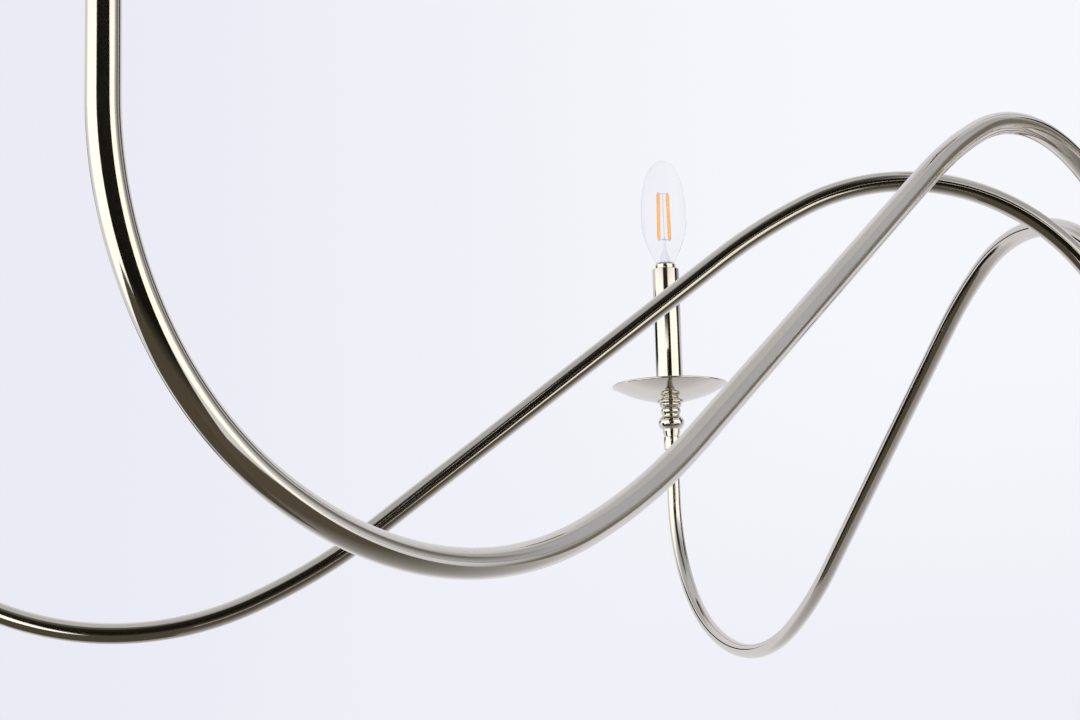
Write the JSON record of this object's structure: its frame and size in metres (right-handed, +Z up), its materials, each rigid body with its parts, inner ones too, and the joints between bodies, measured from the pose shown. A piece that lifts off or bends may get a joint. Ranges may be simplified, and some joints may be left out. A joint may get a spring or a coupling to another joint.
{
  "type": "multi arm chandelier",
  "caption": "Hanging candle chandelier with long S-shaped tube arms on a rod-hung hub, saucers, metal candle sleeves and clear filament bulbs.",
  "frame": {"origin": "centre of the ceiling bar's top face, in the ceiling plane", "axes": "+Z up towards the ceiling; the hub hangs on -Z; arm 3 points along -X"},
  "size_m": [1.3671, 1.263, 0.7013],
  "materials": {
    "nickel": "warm polished nickel plate",
    "steel": "zinc plated steel",
    "socket": "moulded cream phenolic",
    "bulb_glass": "clear blown glass",
    "filament": "yellow phosphor coated filament, lit"
  },
  "bodies": {
    "ceiling": {"crossbar": "steel", "nipple": "steel", "nipple_nuts": "steel", "canopy": "nickel", "canopy_ring": "nickel", "swivel_yoke": "nickel"},
    "swivel": {"swivel_cross": "steel"},
    "frame": {"downrod": "nickel", "hub_plate": "nickel", "arm_nuts": "steel", "hub_bowl": "nickel", "finial": "nickel"},
    "arm_1": {"arm_1": "nickel", "cup_1": "nickel", "bobeche_1": "nickel", "sleeve_1": "nickel", "socket_1": "socket"},
    "bulb_1": {"bulb_base_1": "nickel", "bulb_glass_1": "bulb_glass", "filament_1": "filament"},
    "arm_2": {"arm_2": "nickel", "cup_2": "nickel", "bobeche_2": "nickel", "sleeve_2": "nickel", "socket_2": "socket"},
    "bulb_2": {"bulb_base_2": "nickel", "bulb_glass_2": "bulb_glass", "filament_2": "filament"},
    "arm_3": {"arm_3": "nickel", "cup_3": "nickel", "bobeche_3": "nickel", "sleeve_3": "nickel", "socket_3": "socket"},
    "bulb_3": {"bulb_base_3": "nickel", "bulb_glass_3": "bulb_glass", "filament_3": "filament"},
    "arm_4": {"arm_4": "nickel", "cup_4": "nickel", "bobeche_4": "nickel", "sleeve_4": "nickel", "socket_4": "socket"},
    "bulb_4": {"bulb_base_4": "nickel", "bulb_glass_4": "bulb_glass", "filament_4": "filament"},
    "arm_5": {"arm_5": "nickel", "cup_5": "nickel", "bobeche_5": "nickel", "sleeve_5": "nickel", "socket_5": "socket"},
    "bulb_5": {"bulb_base_5": "nickel", "bulb_glass_5": "bulb_glass", "filament_5": "filament"},
    "arm_6": {"arm_6": "nickel", "cup_6": "nickel", "bobeche_6": "nickel", "sleeve_6": "nickel", "socket_6": "socket"},
    "bulb_6": {"bulb_base_6": "nickel", "bulb_glass_6": "bulb_glass", "filament_6": "filament"}
  },
  "joints": [
    {"name": "hang_tilt_x", "type": "hinge", "parent": "ceiling", "child": "swivel", "pos_m": [0, 0, -0.056], "axis": [1, 0, 0], "range_deg": [-15, 15]},
    {"name": "hang_tilt_y", "type": "hinge", "parent": "swivel", "child": "frame", "pos_m": [0, 0, -0.056], "axis": [0, 1, 0], "range_deg": [-15, 15]},
    {"name": "arm_1_swivel", "type": "hinge", "parent": "frame", "child": "arm_1", "pos_m": [0.00925, 0.01602, -0.6], "axis": [0, 0, 1], "range_deg": [-15, 15]},
    {"name": "bulb_1_lift", "type": "slide", "parent": "arm_1", "child": "bulb_1", "axis": [0, 0, 1], "range_m": [0, 0.03]},
    {"name": "arm_2_swivel", "type": "hinge", "parent": "frame", "child": "arm_2", "pos_m": [-0.00572, 0.01759, -0.6], "axis": [0, 0, 1], "range_deg": [-15, 15]},
    {"name": "bulb_2_lift", "type": "slide", "parent": "arm_2", "child": "bulb_2", "axis": [0, 0, 1], "range_m": [0, 0.03]},
    {"name": "arm_3_swivel", "type": "hinge", "parent": "frame", "child": "arm_3", "pos_m": [-0.0185, 0, -0.6], "axis": [0, 0, 1], "range_deg": [-15, 15]},
    {"name": "bulb_3_lift", "type": "slide", "parent": "arm_3", "child": "bulb_3", "axis": [0, 0, 1], "range_m": [0, 0.03]},
    {"name": "arm_4_swivel", "type": "hinge", "parent": "frame", "child": "arm_4", "pos_m": [-0.01238, -0.01375, -0.6], "axis": [0, 0, 1], "range_deg": [-15, 15]},
    {"name": "bulb_4_lift", "type": "slide", "parent": "arm_4", "child": "bulb_4", "axis": [0, 0, 1], "range_m": [0, 0.03]},
    {"name": "arm_5_swivel", "type": "hinge", "parent": "frame", "child": "arm_5", "pos_m": [0.00925, -0.01602, -0.6], "axis": [0, 0, 1], "range_deg": [-15, 15]},
    {"name": "bulb_5_lift", "type": "slide", "parent": "arm_5", "child": "bulb_5", "axis": [0, 0, 1], "range_m": [0, 0.03]},
    {"name": "arm_6_swivel", "type": "hinge", "parent": "frame", "child": "arm_6", "pos_m": [0.0181, -0.00385, -0.6], "axis": [0, 0, 1], "range_deg": [-15, 15]},
    {"name": "bulb_6_lift", "type": "slide", "parent": "arm_6", "child": "bulb_6", "axis": [0, 0, 1], "range_m": [0, 0.03]}
  ]
}
